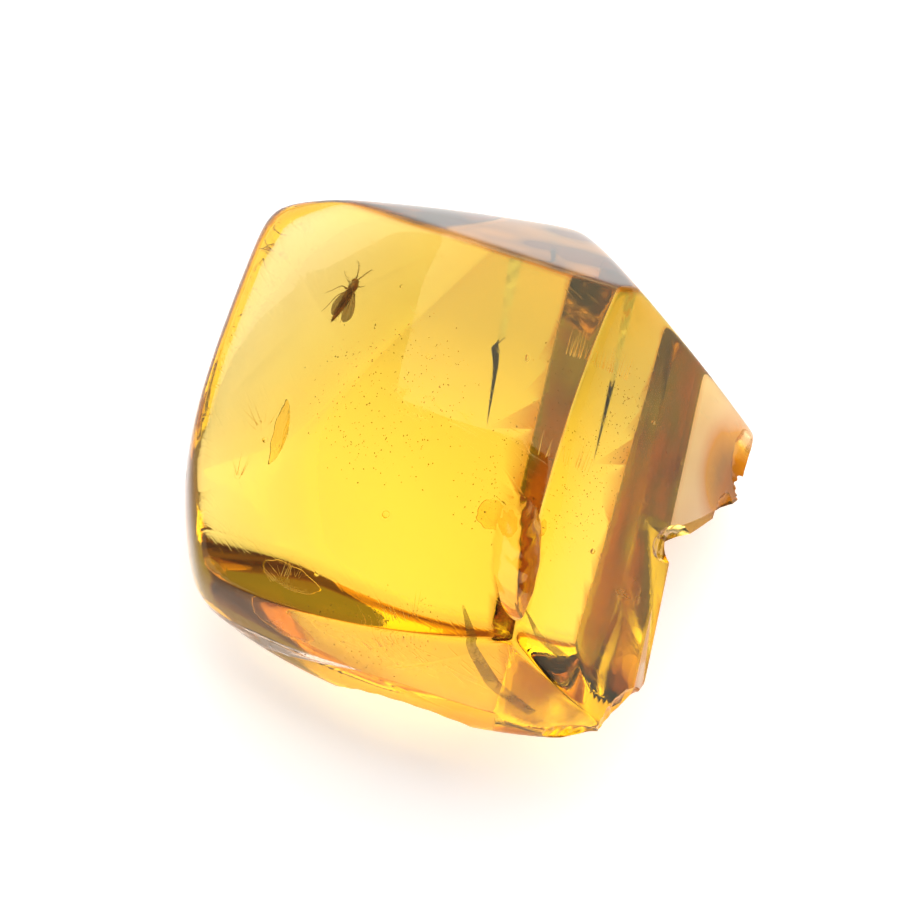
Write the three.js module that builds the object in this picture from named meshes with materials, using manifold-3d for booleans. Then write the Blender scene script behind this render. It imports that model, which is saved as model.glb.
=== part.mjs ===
// A hand-polished block of clear amber, lying on its flat ground base. Millimetres, +Z up.
//
// The block is the space inside all of its facets. Most facets are part of a large ball, so they
// are slightly domed, as polishing on a soft wheel leaves them, and the edges between them are
// rounded. Two breaks are then cut out, which leave a pointed shoulder standing over the base on
// the right, and after them the shell-shaped chips along the edges.

import * as THREE from 'three';
import { mergeVertices } from 'three/addons/utils/BufferGeometryUtils.js';
import Module from 'manifold-3d';

// A facet's turn is the way it faces, in degrees round from +X towards +Y, and its tilt is how far
// it faces up. Its reach is how far it stands from the heart of the block, its dome the radius of
// its ball, or 0 where it is flat, and soft is how round its edges are.
const heart = new THREE.Vector3(0, -0.7, 7.1);
const facets = [
  { name: 'front', turn: -170, tilt: 76, reach: 7.3, dome: 60, soft: 0.08 },
  { name: 'right', turn: -22, tilt: 41, reach: 9.2, dome: 300, soft: 0.08 },
  { name: 'lower bevel', turn: -109, tilt: 20, reach: 12.7, dome: 35, soft: 0.08 },
  { name: 'top bevel', turn: 74, tilt: 37, reach: 12.2, dome: 200, soft: 0.12 },
  { name: 'right shoulder', turn: -19, tilt: 32, reach: 10.3, dome: 300, soft: 0.08 },
  { name: 'back right', turn: 37, tilt: 16, reach: 13.1, dome: 200, soft: 0.08 },
  { name: 'back', turn: 86, tilt: 16, reach: 14.8, dome: 80, soft: 0.8 },
  { name: 'back left', turn: 162, tilt: 10, reach: 15.5, dome: 400, soft: 1.4 },
  { name: 'left', turn: -175, tilt: 6, reach: 15.3, dome: 120, soft: 0.8 },
  { name: 'left corner', turn: -130, tilt: -6, reach: 15.5, dome: 300, soft: 1.2 },
  { name: 'tip', turn: -14, tilt: -11, reach: 14.6, dome: 200, soft: 0.08 },
  { name: 'base', turn: 0, tilt: -90, reach: 7.1, dome: 0, soft: 0.08 },
  { name: 'under left', turn: 136, tilt: -53, reach: 10.3, dome: 270, soft: 0.08 },
  { name: 'under back left', turn: 115, tilt: -31, reach: 14.8, dome: 270, soft: 0.08 },
  { name: 'under back', turn: 89, tilt: -8, reach: 15.7, dome: 600, soft: 0.08 },
  { name: 'under front', turn: -109, tilt: -61, reach: 9.3, dome: 50, soft: 0.25 },
  { name: 'under back right', turn: 45, tilt: -35, reach: 14.8, dome: 230, soft: 0.08 },
  { name: 'under left corner', turn: -179, tilt: -68, reach: 9.5, dome: 600, soft: 0.5 },
  { name: 'under right', turn: -44, tilt: -59, reach: 9.9, dome: 60, soft: 0.08 },
];

// Each break is a wedge of the same kind of facets, taken away from the block. Only its side and
// its roof cut the block, and the other facets stand beyond it.
const beyond = 24;
const breaks = [
  {
    heart: new THREE.Vector3(16, -2.1, -5.3),
    facets: [
      { name: 'side', turn: 167, tilt: 51, reach: 11.9, dome: 0, soft: 0.05 },
      { name: 'under', turn: 9, tilt: 72, reach: 7.9, dome: 2000, soft: 0.05 },
      { name: 'outer side', turn: -13, tilt: -51, reach: beyond, dome: 0, soft: 0.05 },
      { name: 'outer under', turn: -171, tilt: -72, reach: beyond, dome: 0, soft: 0.05 },
      { name: 'one end', turn: 84, tilt: -5, reach: beyond, dome: 0, soft: 0.05 },
      { name: 'other end', turn: -96, tilt: 5, reach: beyond, dome: 0, soft: 0.05 },
    ],
  },
  {
    heart: new THREE.Vector3(17, -12.6, -0.9),
    facets: [
      { name: 'side', turn: 178, tilt: 38, reach: 10.4, dome: 400, soft: 0.05 },
      { name: 'under', turn: 103, tilt: 40, reach: 12.1, dome: 0, soft: 0.05 },
      { name: 'outer side', turn: -2, tilt: -38, reach: beyond, dome: 0, soft: 0.05 },
      { name: 'outer under', turn: -77, tilt: -40, reach: beyond, dome: 0, soft: 0.05 },
      { name: 'one end', turn: 138, tilt: -45, reach: beyond, dome: 0, soft: 0.05 },
      { name: 'other end', turn: -42, tilt: 45, reach: beyond, dome: 0, soft: 0.05 },
    ],
  },
];

// A chip is the dent of a ball drawn out to three half-lengths. Its turn and tilt are the way its
// first half-length lies, and its roll is how far it is rolled about that.
const chips = [
  { name: 'lower edge', at: [-3.9, -14.2, 4.6], size: [5.3, 2.3, 1.7], turn: -12, tilt: -6, roll: 102 },
  { name: 'lower edge step', at: [0.4, -15.2, 4.2], size: [2, 1.2, 0.9], turn: -7, tilt: -5, roll: 102 },
  { name: 'front edge', at: [2.4, -8.7, 15.1], size: [4.2, 1.7, 1.6], turn: -88, tilt: -9, roll: -9 },
  { name: 'foot', at: [8.5, -14.7, 6.6], size: [2.6, 1.6, 1.5], turn: 50, tilt: -6, roll: 71 },
  { name: 'foot corner', at: [5.2, -15.9, 6.3], size: [2, 1.1, 1.2], turn: 1, tilt: 6, roll: 93 },
  { name: 'tip', at: [15.6, 0.4, 4.7], size: [2.2, 1.4, 1.5], turn: 90, tilt: 27, roll: 72 },
  { name: 'tip corner', at: [14.4, -2.9, 5.1], size: [1.9, 1.1, 1.2], turn: 67, tilt: 14, roll: 79 },
  { name: 'notch', at: [11, -5.3, 7.9], size: [1.7, 1, 1.2], turn: 33, tilt: -35, roll: 71 },
];

const edgeStep = 1.7; // between the points along an edge
const ringGaps = [0, 0.2, 0.6, 1.6, 3.4]; // from a facet's edge to the rings of points inside it
const blendReach = 0.8; // how far into a facet its neighbour's softness is felt
const chipSides = 24;
const farAway = 80; // wider than the block
const joinWithin = 1e-4; // points this close are one point
const amberColor = 0xe3a52a;
const amberRoughness = 0.05;

const turned = (degrees) => THREE.MathUtils.degToRad(degrees);

function facingOf({ turn, tilt }) {
  const level = Math.cos(turned(tilt));
  return new THREE.Vector3(
    level * Math.cos(turned(turn)),
    level * Math.sin(turned(turn)),
    Math.sin(turned(tilt)),
  );
}

// A facet with its place in space worked out
function placed(facet, heart) {
  const facing = facingOf(facet);
  const middle = heart.clone().addScaledVector(facing, facet.reach);
  const centre = heart.clone().addScaledVector(facing, facet.reach - facet.dome);
  return { ...facet, facing, middle, centre };
}

// How far a point stands outside a facet, below zero inside
function outside(facet, point) {
  if (facet.dome === 0) return point.clone().sub(facet.middle).dot(facet.facing);
  return point.distanceTo(facet.centre) - facet.dome;
}

// Moves a point straight onto a facet
function ontoFacet(facet, point) {
  const way = facet.dome === 0 ? facet.facing : point.clone().sub(facet.centre).normalize();
  return point.addScaledVector(way.clone(), -outside(facet, point));
}

// Moves a point onto several facets at once, by going onto each in turn until it lies on all
function settle(point, members) {
  for (let round = 0; round < 400; round += 1) {
    for (const facet of members) ontoFacet(facet, point);
  }
  return point;
}

// The flat outline of a facet, cut to shape by the planes of the others. Each corner names the
// neighbour along the side that it starts.
function outlineOf(facet, facets) {
  const across = new THREE.Vector3(-facet.facing.y, facet.facing.x, 0);
  if (across.length() < 0.01) across.set(1, 0, 0);
  across.normalize();
  const up = facet.facing.clone().cross(across);
  const place = (a, b) => facet.middle.clone().addScaledVector(across, a).addScaledVector(up, b);
  let corners = [
    { point: place(-farAway, -farAway) },
    { point: place(farAway, -farAway) },
    { point: place(farAway, farAway) },
    { point: place(-farAway, farAway) },
  ];
  for (const other of facets.filter((one) => one !== facet)) {
    const height = (point) => point.clone().sub(other.middle).dot(other.facing);
    const kept = [];
    corners.forEach((corner, index) => {
      const following = corners[(index + 1) % corners.length];
      const here = height(corner.point);
      const there = height(following.point);
      if (here <= 0) kept.push(corner);
      if (here <= 0 === there <= 0) return;
      const point = corner.point.clone().lerp(following.point, here / (here - there));
      kept.push({ point, along: here <= 0 ? other : corner.along });
    });
    corners = kept;
  }
  return corners;
}

// A closed mesh of the space inside some facets. Corners and edges are worked out once and shared,
// so that neighbouring facets meet exactly.
function facetedGeometry(facets, heart) {
  const corners = new Map();
  const edges = new Map();

  function cornerAt(members, start) {
    const name = members.map((facet) => facet.name).sort().join(' ');
    if (!corners.has(name)) corners.set(name, settle(start.clone(), members));
    return { name, point: corners.get(name) };
  }

  function edgeBetween(facet, other, from, to) {
    const forward = from.name < to.name;
    const [start, end] = forward ? [from, to] : [to, from];
    const name = `${start.name} to ${end.name}`;
    if (!edges.has(name)) {
      const steps = Math.max(1, Math.round(start.point.distanceTo(end.point) / edgeStep));
      const points = [start.point];
      for (let step = 1; step < steps; step += 1) {
        points.push(settle(start.point.clone().lerp(end.point, step / steps), [facet, other]));
      }
      edges.set(name, [...points, end.point]);
    }
    return forward ? edges.get(name) : [...edges.get(name)].reverse();
  }

  // One facet: rings of points from its rim in to its middle
  function facetTriangles(facet) {
    const outline = outlineOf(facet, facets);
    const rim = outline.flatMap((corner, index) => {
      const before = outline.at(index - 1);
      const after = outline[(index + 1) % outline.length];
      const from = cornerAt([facet, before.along, corner.along], corner.point);
      const to = cornerAt([facet, corner.along, after.along], after.point);
      return edgeBetween(facet, corner.along, from, to).slice(0, -1);
    });
    const middle = new THREE.Vector3();
    for (const point of rim) middle.addScaledVector(point, 1 / rim.length);
    ontoFacet(facet, middle);
    const rings = ringGaps.map((gap, ring) => rim.map((point) => {
      const share = Math.min(gap / point.distanceTo(middle), ring / ringGaps.length);
      return ring === 0 ? point : ontoFacet(facet, point.clone().lerp(middle, share));
    }));
    const triangles = [];
    rim.forEach((_, index) => {
      const next = (index + 1) % rim.length;
      for (let ring = 1; ring < rings.length; ring += 1) {
        const [outer, inner] = [rings[ring - 1], rings[ring]];
        triangles.push(outer[index], outer[next], inner[next]);
        triangles.push(outer[index], inner[next], inner[index]);
      }
      triangles.push(rings.at(-1)[index], rings.at(-1)[next], middle);
    });
    return triangles;
  }

  // How far a point stands outside the block with its edges rounded
  function outsideRounded(point) {
    const depths = facets.map((facet) => outside(facet, point));
    const nearest = Math.max(...depths);
    const shares = depths.map((depth) => Math.exp((depth - nearest) / blendReach));
    const total = shares.reduce((sum, share) => sum + share, 0);
    const soft = facets.reduce((sum, facet, index) => sum + facet.soft * shares[index], 0) / total;
    const near = depths.reduce((sum, depth) => sum + Math.exp((depth - nearest) / soft), 0);
    return nearest + soft * Math.log(near);
  }

  // Draws a point straight towards the heart until it lies on the rounded block
  function rounded(point) {
    const arm = point.clone().sub(heart);
    let [low, high] = [0.3, 1.01];
    for (let halving = 0; halving < 40; halving += 1) {
      const share = (low + high) / 2;
      if (outsideRounded(heart.clone().addScaledVector(arm, share)) > 0) high = share;
      else low = share;
    }
    return heart.clone().addScaledVector(arm, low);
  }

  const places = facets.flatMap(facetTriangles).flatMap((point) => rounded(point).toArray());
  const geometry = new THREE.BufferGeometry();
  geometry.setAttribute('position', new THREE.Float32BufferAttribute(places, 3));
  return mergeVertices(geometry, joinWithin);
}

const wasm = await Module();
wasm.setup();

function solidOf(geometry) {
  const mesh = {
    numProp: 3,
    vertProperties: new Float32Array(geometry.attributes.position.array),
    triVerts: new Uint32Array(geometry.index.array),
  };
  return new wasm.Manifold(new wasm.Mesh(mesh));
}

function geometryOf(solid) {
  const mesh = solid.getMesh();
  const geometry = new THREE.BufferGeometry();
  geometry.setAttribute('position', new THREE.BufferAttribute(mesh.vertProperties, 3));
  geometry.setIndex(new THREE.BufferAttribute(mesh.triVerts, 1));
  geometry.computeVertexNormals();
  return geometry;
}

// The hollow that a chip leaves: a ball drawn out to the chip's three half-lengths, the first along
// its turn and the last along its tilt
function chipGeometry({ at, size, turn, tilt, roll }) {
  const geometry = new THREE.SphereGeometry(1, chipSides, chipSides / 2);
  geometry.deleteAttribute('normal');
  geometry.deleteAttribute('uv');
  geometry.scale(...size);
  geometry.rotateX(turned(roll));
  geometry.rotateY(-turned(tilt));
  geometry.rotateZ(turned(turn));
  geometry.translate(...at);
  return mergeVertices(geometry, joinWithin);
}

function amberBlock() {
  const whole = facets.map((facet) => placed(facet, heart));
  let solid = solidOf(facetedGeometry(whole, heart));
  for (const wedge of breaks) {
    const sides = wedge.facets.map((facet) => placed(facet, wedge.heart));
    solid = solid.subtract(solidOf(facetedGeometry(sides, wedge.heart)));
  }
  for (const chip of chips) solid = solid.subtract(solidOf(chipGeometry(chip)));
  const amber = new THREE.MeshStandardMaterial({
    color: amberColor,
    roughness: amberRoughness,
    metalness: 0,
  });
  const mesh = new THREE.Mesh(geometryOf(solid), amber);
  mesh.name = 'amber_block';
  return mesh;
}

const piece = new THREE.Group();
piece.add(amberBlock());
export default piece;
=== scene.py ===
import math

import bmesh
import bpy
import numpy as np
from mathutils import Euler, Matrix, Vector, noise


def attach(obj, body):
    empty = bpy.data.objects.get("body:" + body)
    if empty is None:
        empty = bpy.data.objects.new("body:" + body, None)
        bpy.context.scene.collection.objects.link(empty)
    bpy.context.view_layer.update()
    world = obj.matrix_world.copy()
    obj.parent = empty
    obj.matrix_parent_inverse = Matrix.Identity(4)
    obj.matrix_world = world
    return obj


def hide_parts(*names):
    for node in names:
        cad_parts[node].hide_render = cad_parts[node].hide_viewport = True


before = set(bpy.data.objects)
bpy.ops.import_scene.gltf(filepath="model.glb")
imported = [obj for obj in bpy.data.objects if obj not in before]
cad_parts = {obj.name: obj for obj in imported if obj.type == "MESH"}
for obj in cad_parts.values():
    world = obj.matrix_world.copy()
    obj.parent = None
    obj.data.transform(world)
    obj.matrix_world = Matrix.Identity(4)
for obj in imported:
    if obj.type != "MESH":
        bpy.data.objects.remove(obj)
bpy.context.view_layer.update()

mm = 0.001
print("frame loaded")

# The block: the space inside its facets, with two breaks and the chips taken out of it.
# A facet is its turn and tilt in degrees, its reach from the heart, the radius of its dome
# (0 is flat) and how soft its edges are, all in millimetres.
block = {
    "heart": (0, -0.7, 7.1),
    "edgeStep": 0.4,
    "rings": [0, 0.04, 0.1, 0.18, 0.3, 0.5, 0.8, 1.25, 1.9, 2.8, 3.9, 5.2, 6.8],
    "blendReach": 0.8,
    "settleSteps": 400,
    "roundSteps": 40,
    "joinGap": 0.0002,
    "sharpAngle": 38,
    "facets": [
        ("front", -170, 76, 7.3, 60, 0.08),
        ("right", -22, 41, 9.2, 300, 0.08),
        ("lower bevel", -109, 20, 12.7, 35, 0.08),
        ("top bevel", 74, 37, 12.2, 200, 0.12),
        ("right shoulder", -19, 32, 10.3, 300, 0.08),
        ("back right", 37, 16, 13.1, 200, 0.08),
        ("back", 86, 16, 14.8, 80, 0.8),
        ("back left", 162, 10, 15.5, 400, 1.4),
        ("left", -175, 6, 15.3, 120, 0.8),
        ("left corner", -130, -6, 15.5, 300, 1.2),
        ("tip", -14, -11, 14.6, 200, 0.08),
        ("base", 0, -90, 7.1, 0, 0.08),
        ("under left", 136, -53, 10.3, 270, 0.08),
        ("under back left", 115, -31, 14.8, 270, 0.08),
        ("under back", 89, -8, 15.7, 600, 0.08),
        ("under front", -109, -61, 9.3, 50, 0.25),
        ("under back right", 45, -35, 14.8, 230, 0.08),
        ("under left corner", -179, -68, 9.5, 600, 0.5),
        ("under right", -44, -59, 9.9, 60, 0.08),
    ],
}


# A mesh to work on, from points in millimetres
def workFrom(points, faces):
    mesh = bpy.data.meshes.new("points")
    mesh.from_pydata((points.reshape(-1, 3) * mm).tolist(), [], faces)
    work = bmesh.new()
    work.from_mesh(mesh)
    bpy.data.meshes.remove(mesh)
    return work


def meshOf(work, name):
    mesh = bpy.data.meshes.new(name)
    work.to_mesh(mesh)
    work.free()
    return mesh


def closedMesh(work, name):
    bmesh.ops.recalc_face_normals(work, faces=work.faces)
    return meshOf(work, name)


def facingOf(turn, tilt):
    level = math.cos(math.radians(tilt))
    return np.array([
        level * math.cos(math.radians(turn)),
        level * math.sin(math.radians(turn)),
        math.sin(math.radians(tilt)),
    ])


class Facet:
    def __init__(self, heart, name, turn, tilt, reach, dome, soft):
        self.name, self.dome, self.soft = name, dome, soft
        self.facing = facingOf(turn, tilt)
        self.middle = heart + self.facing * reach
        self.centre = heart + self.facing * (reach - dome)

    def outside(self, points):
        if self.dome == 0:
            return (points - self.middle) @ self.facing
        return np.linalg.norm(points - self.centre, axis=-1) - self.dome

    def onto(self, points):
        gap = self.outside(points)[..., None]
        if self.dome == 0:
            return points - gap * self.facing
        way = points - self.centre
        return points - gap * way / np.linalg.norm(way, axis=-1, keepdims=True)


def facetsOf(shape):
    heart = np.array(shape["heart"], dtype=float)
    return [Facet(heart, *row) for row in shape["facets"]]


def settle(points, facets):
    for _ in range(block["settleSteps"]):
        for facet in facets:
            points = facet.onto(points)
    return points


# The flat outline of a facet, cut by the planes of the others. Each corner names the neighbour
# along the side that it starts.
def outlineOf(facet, facets, far=80):
    across = np.array([-facet.facing[1], facet.facing[0], 0])
    if np.linalg.norm(across) < 0.01:
        across = np.array([1.0, 0, 0])
    across = across / np.linalg.norm(across)
    up = np.cross(facet.facing, across)
    corners = [(facet.middle + a * far * across + b * far * up, None)
               for a, b in ((-1, -1), (1, -1), (1, 1), (-1, 1))]
    for other in facets:
        if other is facet:
            continue
        kept = []
        for index, (point, along) in enumerate(corners):
            following = corners[(index + 1) % len(corners)][0]
            here = (point - other.middle) @ other.facing
            there = (following - other.middle) @ other.facing
            if here <= 0:
                kept.append((point, along))
            if (here <= 0) != (there <= 0):
                cut = point + (following - point) * here / (here - there)
                kept.append((cut, other if here <= 0 else along))
        corners = kept
    return corners


def blockMesh(shape):
    heart = np.array(shape["heart"], dtype=float)
    facets = facetsOf(shape)
    corners, edges = {}, {}

    def cornerAt(members, start):
        name = " ".join(sorted(facet.name for facet in members))
        if name not in corners:
            corners[name] = settle(start, members)
        return name, corners[name]

    def edgeBetween(facet, other, start, end):
        forward = start[0] < end[0]
        (firstName, first), (lastName, last) = (start, end) if forward else (end, start)
        name = firstName + " to " + lastName
        if name not in edges:
            steps = max(1, round(np.linalg.norm(last - first) / shape["edgeStep"]))
            shares = np.arange(1, steps)[:, None] / steps
            middle = settle(first + (last - first) * shares, [facet, other])
            edges[name] = np.vstack([first, middle, last])
        return edges[name] if forward else edges[name][::-1]

    def rounded(points):
        soft = np.array([facet.soft for facet in facets])
        low, high = np.full(len(points), 0.3), np.full(len(points), 1.01)
        for _ in range(shape["roundSteps"]):
            share = (low + high) / 2
            at = heart + (points - heart) * share[:, None]
            depths = np.stack([facet.outside(at) for facet in facets], axis=1)
            nearest = depths.max(axis=1, keepdims=True)
            shares = np.exp((depths - nearest) / shape["blendReach"])
            width = (shares * soft).sum(axis=1) / shares.sum(axis=1)
            crowd = np.exp((depths - nearest) / width[:, None]).sum(axis=1)
            out = nearest[:, 0] + width * np.log(crowd) > 0
            high, low = np.where(out, share, high), np.where(out, low, share)
        return heart + (points - heart) * low[:, None]

    triangles = []
    for facet in facets:
        outline = outlineOf(facet, facets)
        rim = []
        for index, (point, along) in enumerate(outline):
            before = outline[index - 1][1]
            nextPoint, after = outline[(index + 1) % len(outline)]
            start = cornerAt([facet, before, along], point)
            end = cornerAt([facet, along, after], nextPoint)
            rim.append(edgeBetween(facet, along, start, end)[:-1])
        rim = np.vstack(rim)
        middle = facet.onto(rim.mean(axis=0))
        way = np.linalg.norm(rim - middle, axis=1, keepdims=True)
        rings = [rim]
        for count, gap in enumerate(shape["rings"][1:], start=1):
            share = np.minimum(gap / way, count / len(shape["rings"]))
            rings.append(facet.onto(rim + (middle - rim) * share))
        following = [np.roll(ring, -1, axis=0) for ring in rings]
        for ring in range(1, len(rings)):
            outer, inner = rings[ring - 1], rings[ring]
            outerNext, innerNext = following[ring - 1], following[ring]
            triangles.append(np.stack([outer, outerNext, innerNext], axis=1))
            triangles.append(np.stack([outer, innerNext, inner], axis=1))
        fan = np.broadcast_to(middle, rim.shape)
        triangles.append(np.stack([rings[-1], following[-1], fan], axis=1))
    places = rounded(np.vstack(triangles).reshape(-1, 3))
    work = workFrom(places, np.arange(len(places)).reshape(-1, 3).tolist())
    bmesh.ops.remove_doubles(work, verts=work.verts, dist=shape["joinGap"] * mm)
    return closedMesh(work, "block")


def putIn(shape, name):
    piece = bpy.data.objects.new(name, shape)
    bpy.context.scene.collection.objects.link(piece)
    return piece


# The breaks: two wedges with a side and a roof that meet in one line inside the block.
# Resin breaks like glass, in shallow swells with fine ribs across them.
breaks = {
    "wedges": [
        {"heart": (16, -2.1, -5.3), "side": (167, 51, 11.9), "roof": (9, 72, 7.9)},
        {"heart": (17, -12.6, -0.9), "side": (178, 38, 10.4), "roof": (103, 40, 12.1)},
    ],
    "width": 48,
    "depth": 20,
    "step": 0.3,
    "swell": 0.12,
    "swellLength": 4.5,
    "rib": 0.012,
    "ribLength": 0.6,
    "sideShare": 0.06,
}


# How far points are beyond a break's side and its roof
def gapsTo(wedge, points):
    heart = np.array(wedge["heart"], dtype=float)
    return [(points - heart) @ facingOf(turn, tilt) - reach
            for turn, tilt, reach in (wedge["side"], wedge["roof"])]


# The facings of a break's side and roof, the way their shared line runs, and a point on that line
# with the side moved out by a little
def ridgeOf(wedge, outBy=0):
    heart = np.array(wedge["heart"], dtype=float)
    sideFacing, roofFacing = facingOf(*wedge["side"][:2]), facingOf(*wedge["roof"][:2])
    along = np.cross(sideFacing, roofFacing)
    along /= np.linalg.norm(along)
    walls = np.array([sideFacing, roofFacing, along])
    start = heart + np.linalg.solve(walls, [wedge["side"][2] + outBy, wedge["roof"][2], 0])
    return sideFacing, roofFacing, along, start


def breakRelief(points, seed):
    relief = []
    for x, y, z in points:
        swell = noise.noise(Vector((x, y, z + seed)) / breaks["swellLength"])
        fine = noise.noise(Vector((x + seed, y * 0.4, z)) / breaks["ribLength"])
        relief.append(breaks["swell"] * swell + breaks["rib"] * fine)
    return np.array(relief)


def wedgeMesh(wedge, seed):
    sideFacing, roofFacing, along, start = ridgeOf(wedge)
    lean = sideFacing @ roofFacing
    downSide = -(roofFacing - lean * sideFacing) / math.sqrt(1 - lean * lean)
    downRoof = -(sideFacing - lean * roofFacing) / math.sqrt(1 - lean * lean)
    steps = round(breaks["depth"] / breaks["step"])
    travel = np.linspace(0, breaks["depth"], steps + 1)[:, None]
    side = start + travel[::-1] * downSide
    roof = start + travel[1:] * downRoof
    profile = np.vstack([side, roof])
    facings = np.vstack([np.tile(sideFacing, (len(side), 1)), np.tile(roofFacing, (len(roof), 1))])
    facings[len(side) - 1] = (sideFacing + roofFacing) / np.linalg.norm(sideFacing + roofFacing)
    count = len(profile)
    rows = round(breaks["width"] / breaks["step"])
    slide = np.linspace(-0.5, 0.5, rows + 1) * breaks["width"]
    grid = profile[None] + slide[:, None, None] * along
    flat = grid.reshape(-1, 3)
    share = np.where(np.arange(count) < len(side), breaks["sideShare"], 1)
    relief = breakRelief(flat, seed)[:, None] * np.tile(facings * share[:, None], (rows + 1, 1))
    grid = (flat + relief).reshape(grid.shape)
    faces = []
    for row in range(rows):
        for column in range(count):
            a, b = row * count + column, row * count + (column + 1) % count
            faces.append((a, b, b + count, a + count))
    faces.append(tuple(range(count)))
    faces.append(tuple(range(rows * count, (rows + 1) * count)))
    work = workFrom(grid, faces)
    bmesh.ops.triangulate(work, faces=work.faces)
    return closedMesh(work, "wedge")


# The chips: each is the dent of a drawn-out ball, with shell-like ripples spreading from the
# point that was struck
chips = {
    "rippleHeight": 0.018,
    "rippleCount": 26,
    "sides": 72,
    "rows": [
        ("lower edge", (-3.9, -14.2, 4.6), (5.3, 2.3, 1.7), -12, -6, 102),
        ("lower edge step", (0.4, -15.2, 4.2), (2, 1.2, 0.9), -7, -5, 102),
        ("front edge", (2.4, -8.7, 15.1), (4.2, 1.7, 1.6), -88, -9, -9),
        ("foot", (8.5, -14.7, 6.6), (2.6, 1.6, 1.5), 50, -6, 71),
        ("foot corner", (5.2, -15.9, 6.3), (2, 1.1, 1.2), 1, 6, 93),
        ("tip", (15.3, 0.4, 4.7), (2.2, 1.4, 1.5), 90, 27, 72),
        ("tip corner", (14.1, -2.7, 5.1), (1.9, 1.1, 1.2), 67, 14, 79),
        ("notch", (11, -5.3, 7.9), (1.7, 1, 1.2), 33, -35, 71),
    ],
}


def turnedBy(turn, tilt, roll):
    return (Matrix.Rotation(math.radians(turn), 4, "Z")
            @ Matrix.Rotation(-math.radians(tilt), 4, "Y")
            @ Matrix.Rotation(math.radians(roll), 4, "X"))


def chipMesh(at, size, turn, tilt, roll):
    work = bmesh.new()
    sides = chips["sides"]
    bmesh.ops.create_uvsphere(work, u_segments=sides, v_segments=sides // 2, radius=1)
    struck = Vector((-0.8, 0.2, -0.5)).normalized()
    for vert in work.verts:
        wave = math.sin((vert.co - struck).length * chips["rippleCount"])
        vert.co *= 1 + chips["rippleHeight"] * wave
    sized = Matrix.Diagonal(Vector((*size, 1 / mm)) * mm)
    place = Matrix.Translation(Vector(at) * mm) @ turnedBy(turn, tilt, roll) @ sized
    bmesh.ops.transform(work, matrix=place, verts=work.verts)
    return closedMesh(work, "chip")


# A cut can leave crumbs: closed slivers of a few faces, with no room inside
def dropCrumbs(mesh, fewest=40):
    work = bmesh.new()
    work.from_mesh(mesh)
    work.verts.ensure_lookup_table()
    seen = set()
    for start in work.verts[:]:
        if start in seen:
            continue
        island, front = {start}, [start]
        while front:
            fresh = {edge.other_vert(vert) for vert in front for edge in vert.link_edges} - island
            island |= fresh
            front = list(fresh)
        seen |= island
        if len(island) < fewest:
            bmesh.ops.delete(work, geom=list(island), context="VERTS")
    work.to_mesh(mesh)
    work.free()


def cutBlock():
    whole = putIn(blockMesh(block), "wholeBlock")
    print("block", len(whole.data.polygons), "triangles")
    cutters = [wedgeMesh(wedge, 3.7 * number) for number, wedge in enumerate(breaks["wedges"])]
    cutters += [chipMesh(*row[1:]) for row in chips["rows"]]
    helpers = [putIn(mesh, "cutter") for mesh in cutters]
    for helper in helpers:
        cut = whole.modifiers.new("cut", "BOOLEAN")
        cut.operation, cut.solver, cut.object = "DIFFERENCE", "MANIFOLD", helper
    depsgraph = bpy.context.evaluated_depsgraph_get()
    cutMesh = bpy.data.meshes.new_from_object(whole.evaluated_get(depsgraph))
    for piece in [*helpers, whole]:
        bpy.data.objects.remove(piece)
    dropCrumbs(cutMesh)
    print("cut block", len(cutMesh.polygons), "faces")
    return cutMesh


# How much weathered rind is left on a facet: 0 where it was all ground away, 0.5 for orange rind
# and 1 for dark red crust. The same tint is also painted shade on the sides of the breaks and a
# painted glow along two edges
crust = {
    "top bevel": 1,
    "back": 0.12,
    "left": 0.1,
    "left corner": 0.1,
    "lower bevel": 0.2,
    "under left": 0.1,
    "under front": 0.22,
    "under right": 0.2,
    # On the sides of the breaks this orange tint is painted shade, darkening what is seen through them
    "old break": 0.5,
    "break roof": 0.3,
    "chips": 0.25,
    "strength": 1.6,
    "fade": 4,
    "patches": [
        # The first two patches, along the left edge and the lower left corner edge, are a painted edge
        # glow in orange; the others are rind and crust
        {"at": (-15.4, -2.5, 7), "size": (1.7, 5.4, 6), "most": 0.52},
        {"at": (-12.4, -11.6, 6), "size": (4, 3, 5), "most": 0.36},
        {"at": (14.6, -1.0, 5.8), "size": (3.4, 4.8, 6), "most": 0.9},
        {"at": (12.6, -1.2, 7), "size": (5.5, 8, 6), "most": 0.2},
        {"at": (7.6, -13.6, 5), "size": (3.4, 2.4, 5), "most": 0.42},
        {"at": (-2.5, -14.8, 4.5), "size": (5, 1.6, 3), "most": 0.4},
    ],
}
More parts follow.
